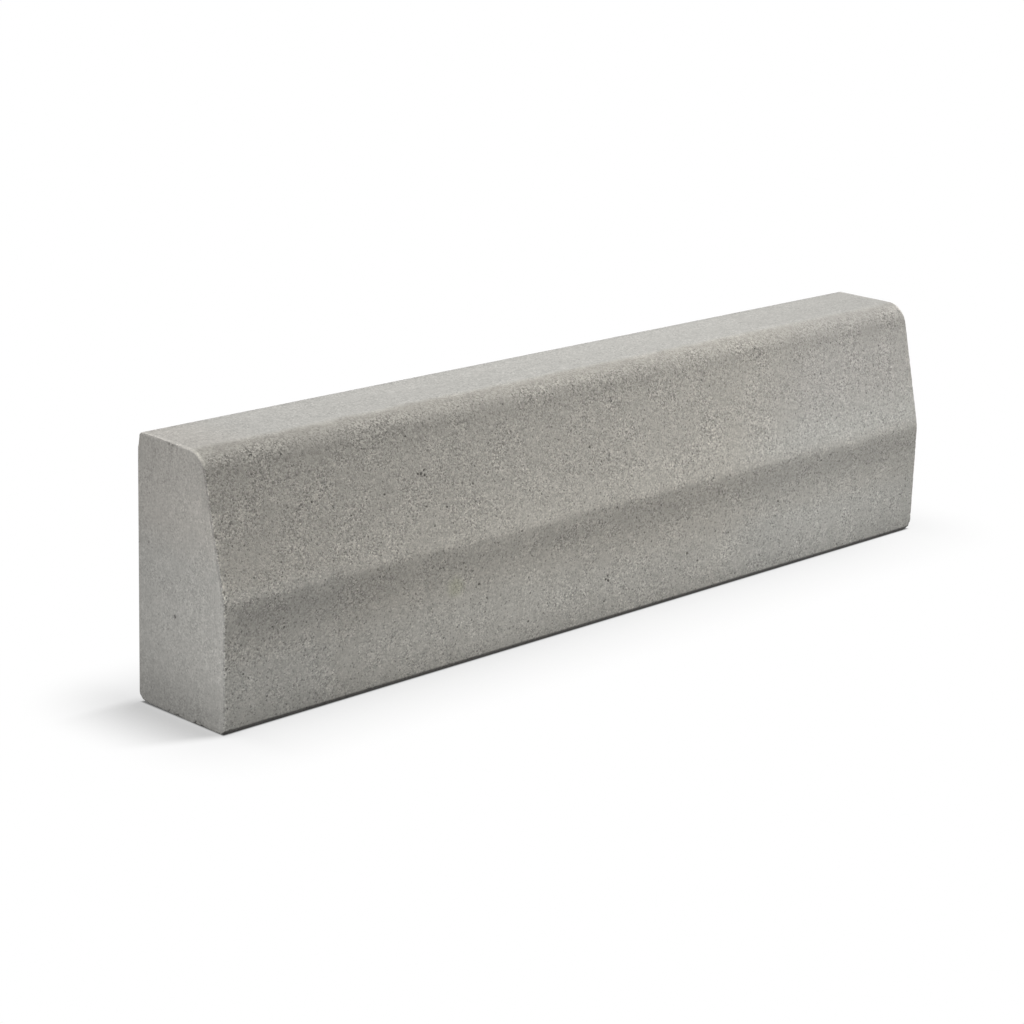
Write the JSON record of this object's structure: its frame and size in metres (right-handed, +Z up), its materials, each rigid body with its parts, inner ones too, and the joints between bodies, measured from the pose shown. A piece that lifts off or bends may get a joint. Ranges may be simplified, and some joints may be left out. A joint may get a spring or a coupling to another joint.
{
  "type": "concrete kerb stone",
  "caption": "Solid precast concrete kerb unit with an upright back and lower face, a battered upper face and a rounded nose, laid end to end along the edge of a road.",
  "frame": {"origin": "middle of the bed, the underside that the kerb is laid on", "axes": "+X along the kerb, -Y towards the road, which is the side of the battered face, and +Z up"},
  "size_m": [0.99, 0.12, 0.25],
  "materials": {
    "concrete": "matte"
  },
  "bodies": {
    "root": {"kerb_stone": "concrete"}
  },
  "joints": []
}
